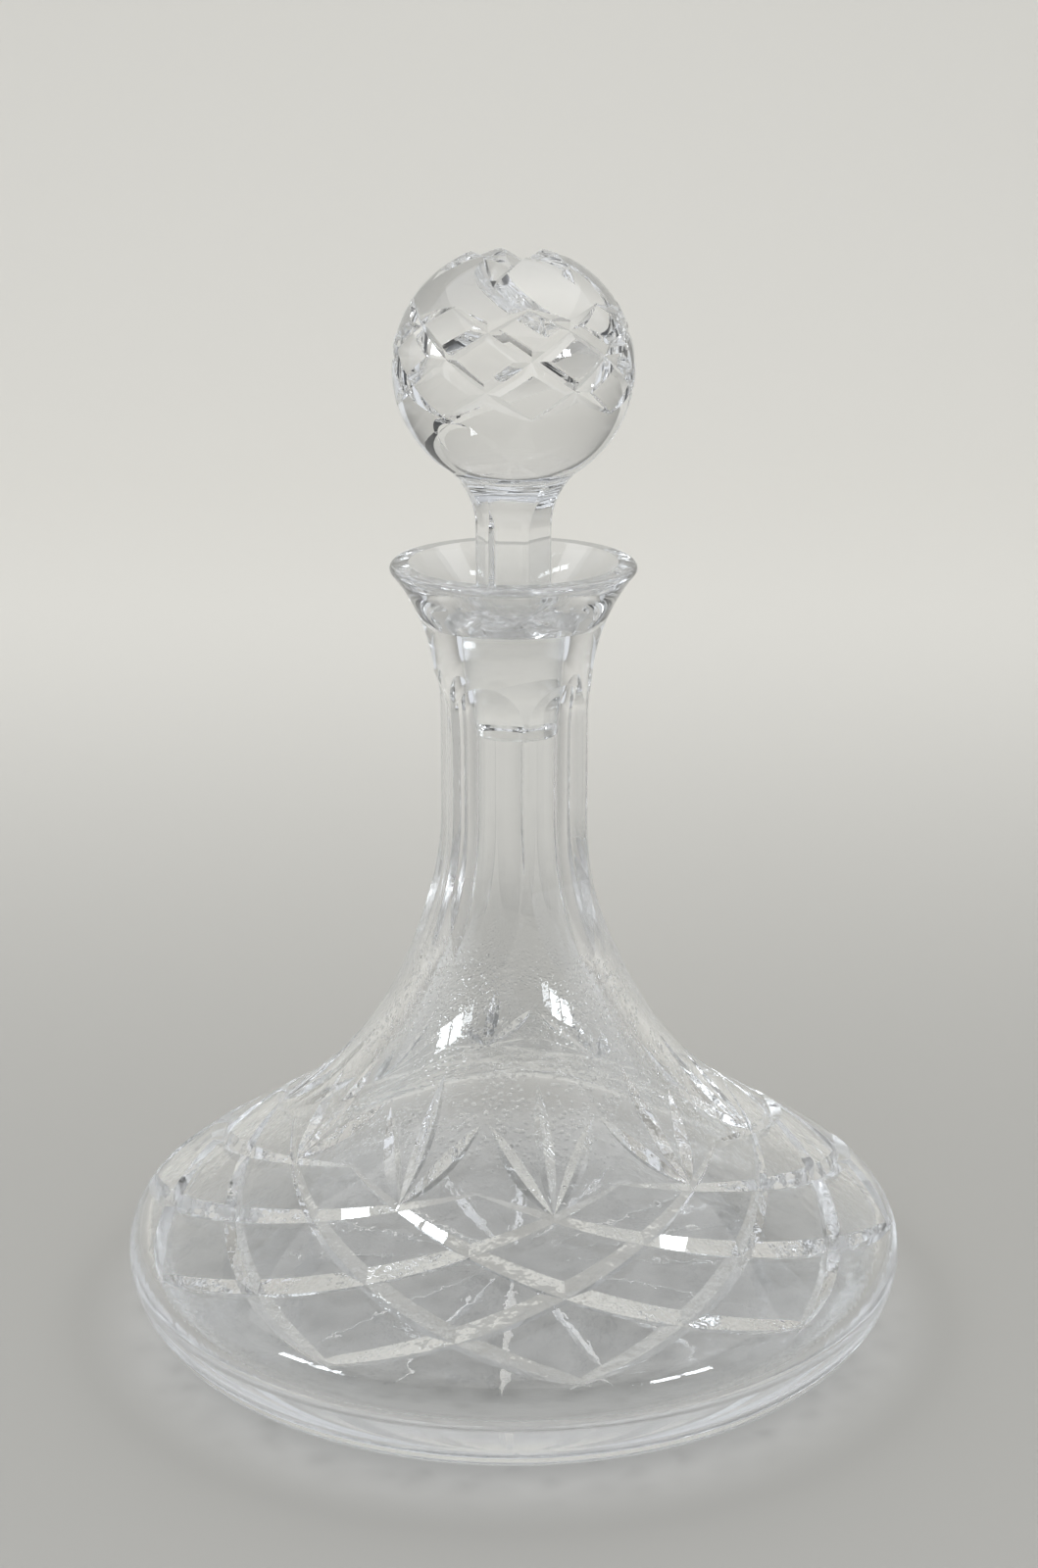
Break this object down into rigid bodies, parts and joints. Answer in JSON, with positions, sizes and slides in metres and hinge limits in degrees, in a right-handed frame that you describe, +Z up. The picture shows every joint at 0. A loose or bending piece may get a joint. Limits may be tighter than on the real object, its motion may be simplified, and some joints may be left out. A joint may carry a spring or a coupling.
{
  "type": "ships decanter",
  "caption": "Wide-bottomed clear cut-glass decanter with a fluted neck, flared mouth and a lift-out ball stopper with a ground plug.",
  "frame": {"origin": "on the table, at the centre of the flat foot", "axes": "+Z up along the axis of the bottle, -Y the front seen in the picture, +X to the viewer's right"},
  "size_m": [0.18, 0.18, 0.2455],
  "materials": {
    "clear_glass": "polished clear crystal"
  },
  "bodies": {
    "decanter": {"decanter_body": "clear_glass"},
    "stopper": {"stopper": "clear_glass"}
  },
  "joints": [
    {"name": "stopper_lift", "type": "slide", "parent": "decanter", "child": "stopper", "axis": [0, 0, 1], "range_m": [0, 0.06]}
  ]
}
